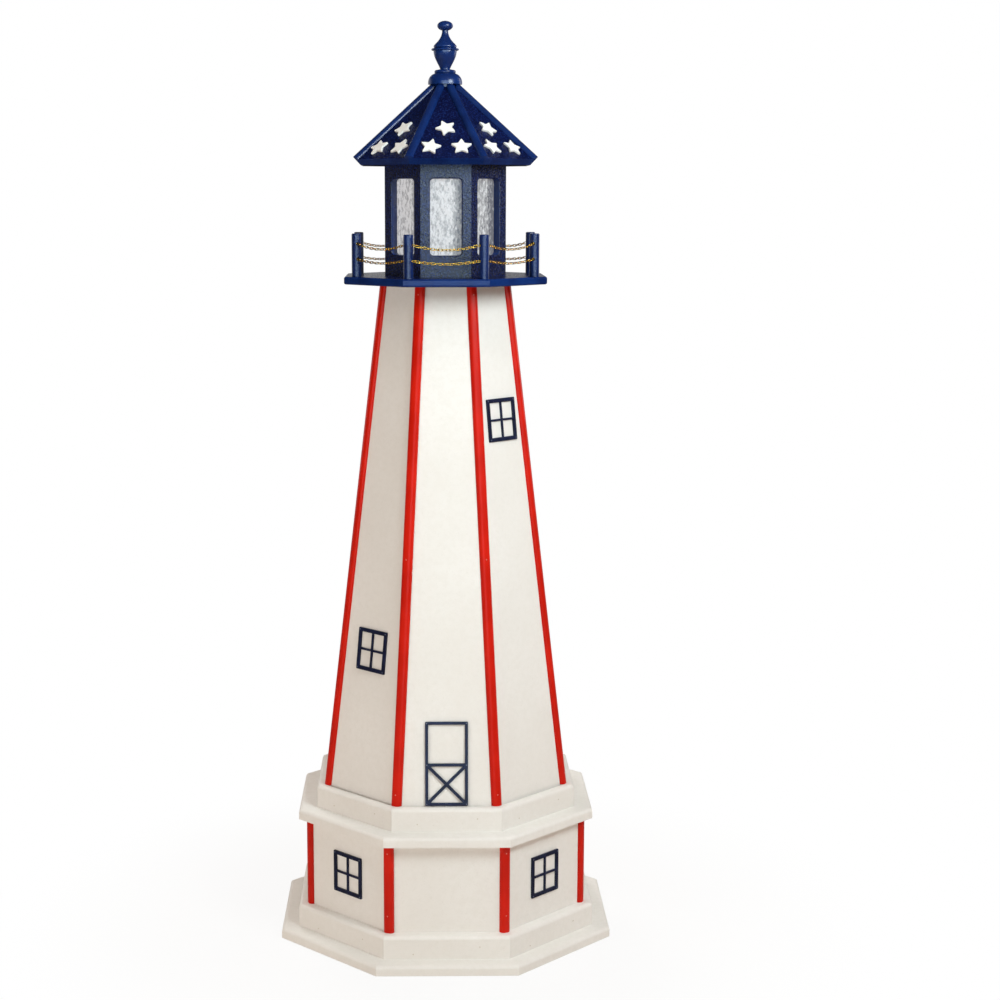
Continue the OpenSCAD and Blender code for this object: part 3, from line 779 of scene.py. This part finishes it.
# %% Turn the bulb
def lathe(name, outline, steps):
    """Draws a line through (radius, height) points and spins it round the Z axis."""
    piece = start_piece(bpy.ops.mesh.primitive_plane_add, size=0.01)
    bpy.ops.object.mode_set(mode="EDIT")
    bpy.ops.mesh.select_all(action="SELECT")
    bpy.ops.mesh.merge(type="CENTER")
    here = Vector((0, 0, 0))
    for radius, height in outline:
        there = Vector((radius, 0, height))
        if here.length == 0:
            bpy.ops.transform.translate(value=there)
        else:
            bpy.ops.mesh.extrude_vertices_move(TRANSFORM_OT_translate={"value": there - here})
        here = there
    bpy.ops.mesh.select_all(action="SELECT")
    bpy.ops.mesh.spin(steps=steps, angle=2 * math.pi, center=(0, 0, 0), axis=(0, 0, 1))
    return end_piece(piece, name, 60)


bulb_foot = 1.1553
bulb_outline = [(0, 0), (0.0113, 0), (0.0119, 0.0015), (0.0122, 0.005), (0.0135, 0.011),
                (0.0158, 0.018), (0.0190, 0.025), (0.0216, 0.0315), (0.0234, 0.038),
                (0.0239, 0.043), (0.0230, 0.0500), (0.0202, 0.0560), (0.0158, 0.0603),
                (0.0100, 0.0631), (0.0045, 0.0638), (0, 0.0640)]
bulb = lathe("bulb_blown", [(radius, bulb_foot + height) for radius, height in bulb_outline], 48)
bulb.data.materials.append(opal_glass)
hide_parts("bulb_glass")
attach(bulb, "lighthouse")
print("bulb:", len(bulb.data.polygons), "faces")

# %% [markdown]
# ## The studio
#
# The photograph was taken in soft light that comes mostly from the front, above and to the right,
# so that the left flank of the tower falls into a beige shade. The key lamp stands there, near the
# lantern, so its light fades towards the base. A broad warm lamp low on the left and one above
# fill the shade, a strip lights the edges, and one lamp the back. A weak one low on the right
# stands for the warm light off the floor. All but the key and the strip are hidden from glossy
# surfaces, which would otherwise look hazy.
#
# The camera sees pure white behind the object. Glossy surfaces mirror a duller white there, near
# the horizon and mostly on the left, and a bright panel in front of the object. The rest of the
# room is dark for them, and so is the floor, which keeps the roof deep blue. A lamp is given by
# its name, place, aim, size, watts and tint.

# %% Lamps
def add_lamp(name, place, aim, size, watts, tint=(1, 1, 1)):
    light = bpy.data.lights.new(name, "AREA")
    light.shape, light.size, light.size_y = "RECTANGLE", size[0], size[1]
    light.energy, light.color = watts, tint
    lamp = bpy.data.objects.new(name, light)
    lamp.location = place
    lamp.rotation_euler = (Vector(aim) - Vector(place)).to_track_quat("-Z", "Y").to_euler()
    bpy.context.scene.collection.objects.link(lamp)
    return lamp


add_lamp("key", (1.08, -1.37, 1.85), (0, 0, 1.2), (0.8, 0.8), 34, (0.84, 0.96, 1))
fill = add_lamp("fill", (-2.6, -2.2, 0.5), (0, 0, 0.3), (1.6, 0.8), 36, (1, 0.94, 0.90))
add_lamp("edge", (2.6, 1.8, 1.8), (0, 0, 1.0), (1.0, 2.0), 12)
rear = add_lamp("rear", (-1.0, 2.3, 2.5), (0, 0, 0.9), (1.2, 1.2), 40)
above = add_lamp("above", (0.3, -1.2, 3.4), (0, 0, 0.4), (1.2, 1.2), 13)
warmth = add_lamp("warmth", (2.3, -0.9, 0.15), (0, 0, 0.1), (0.8, 0.4), 4.5, (1, 0.45, 0.35))
for soft in (fill, above, rear, warmth):
    soft.visible_glossy = False

# %% [markdown]
# The room round the object is only a world shader. It asks what kind of ray looks at it: the
# camera's, a mirrored one, or one that gathers the room's light for a matt surface. The last sees
# a dim warm ceiling.

# %% World
dark_room, white_wall, lit_panel = (0.035, 0.036, 0.04), (0.8, 0.8, 0.8), (3.7, 4.9, 5.5)
ceiling, paper_white = (0.385, 0.325, 0.27), (1.0, 1.0, 1.0)
world = bpy.data.worlds.new("studio")
bpy.context.scene.world = world
world.use_nodes = True
Wire.tree = world.node_tree
Wire.tree.nodes.clear()
ray = Wire.node("ShaderNodeLightPath", output="Is Camera Ray")
kinds = {o.name: Wire(o) for o in ray.socket.node.outputs}
mirrored = kinds["Is Glossy Ray"] + kinds["Is Transmission Ray"]
heading = Wire.node("ShaderNodeTexCoord", output="Generated")
split = Wire.node("ShaderNodeSeparateXYZ", Vector=heading).socket.node
rightward, backward, up = [Wire(output) for output in split.outputs]
low = 1 - contrast(abs(up), 0.18, 0.45)
backdrop = contrast(backward, 0.15, 0.5) * low * (1 - 0.55 * contrast(rightward, -0.25, 0.25))
panel = contrast(backward * -1, 0.86, 0.97) * low
room = blend(panel, blend(backdrop, dark_room, white_wall), lit_panel)
ambient = blend(contrast(up, 0, 0.8), (0, 0, 0), ceiling)
seen = blend(mirrored, ambient, room)
background = Wire.node("ShaderNodeBackground", Color=blend(ray, seen, paper_white), Strength=1.0)
Wire.node("ShaderNodeOutputWorld", Surface=background)
print("world:", world.name)

# %% [markdown]
# The floor is white paper. To the camera it glows almost white by itself, and wholly so away from
# the object, so that only the soft shade round the foot is left of it. To the rays that gather
# light it is matt paper, which throws warm light back up, and to mirrored rays it is dark.

# %% Floor
floor_radius, floor_drop = 9, 0.0005
floor = start_piece(bpy.ops.mesh.primitive_circle_add, vertices=96, radius=floor_radius,
                    fill_type="NGON", location=(0, 0, -floor_drop))
floor.name = "floor"
floor_paint = bpy.data.materials.new("floor_paint")
floor_paint.use_nodes = True
Wire.tree = floor_paint.node_tree
Wire.tree.nodes.clear()
seen_by_camera = Wire.node("ShaderNodeLightPath", output="Is Camera Ray")
seen_in_gloss = Wire(seen_by_camera.socket.node.outputs["Is Glossy Ray"])
paper = blend(contrast(noise(0.4), 0.3, 0.7), (0.80, 0.755, 0.705), (0.83, 0.785, 0.735))
toned = blend(seen_in_gloss * 0.75, paper, (0.02, 0.02, 0.02))
matt = Wire.node("ShaderNodeBsdfDiffuse", Color=toned)
glow = Wire.node("ShaderNodeEmission", Color=(1, 1, 1, 1), Strength=1.0)
from_middle = Wire.node("ShaderNodeVectorMath", {"operation": "LENGTH"}, output="Value",
                        i0=place_on_piece())
whiteness = 0.89 + 0.11 * contrast(from_middle, 0.3, 0.8)
Wire.node("ShaderNodeOutputMaterial", Surface=Wire.node(
    "ShaderNodeMixShader", i0=seen_by_camera * whiteness, i1=matt, i2=glow))
floor.data.materials.append(floor_paint)
print("floor:", len(floor.data.polygons), "face")

# %% [markdown]
# ## The view transform and the end
#
# The picture is shown through the Standard view transform, and the scene is brought up to date.

# %% Set the view transform and end
bpy.context.scene.view_settings.view_transform = "Standard"
bpy.context.view_layer.update()
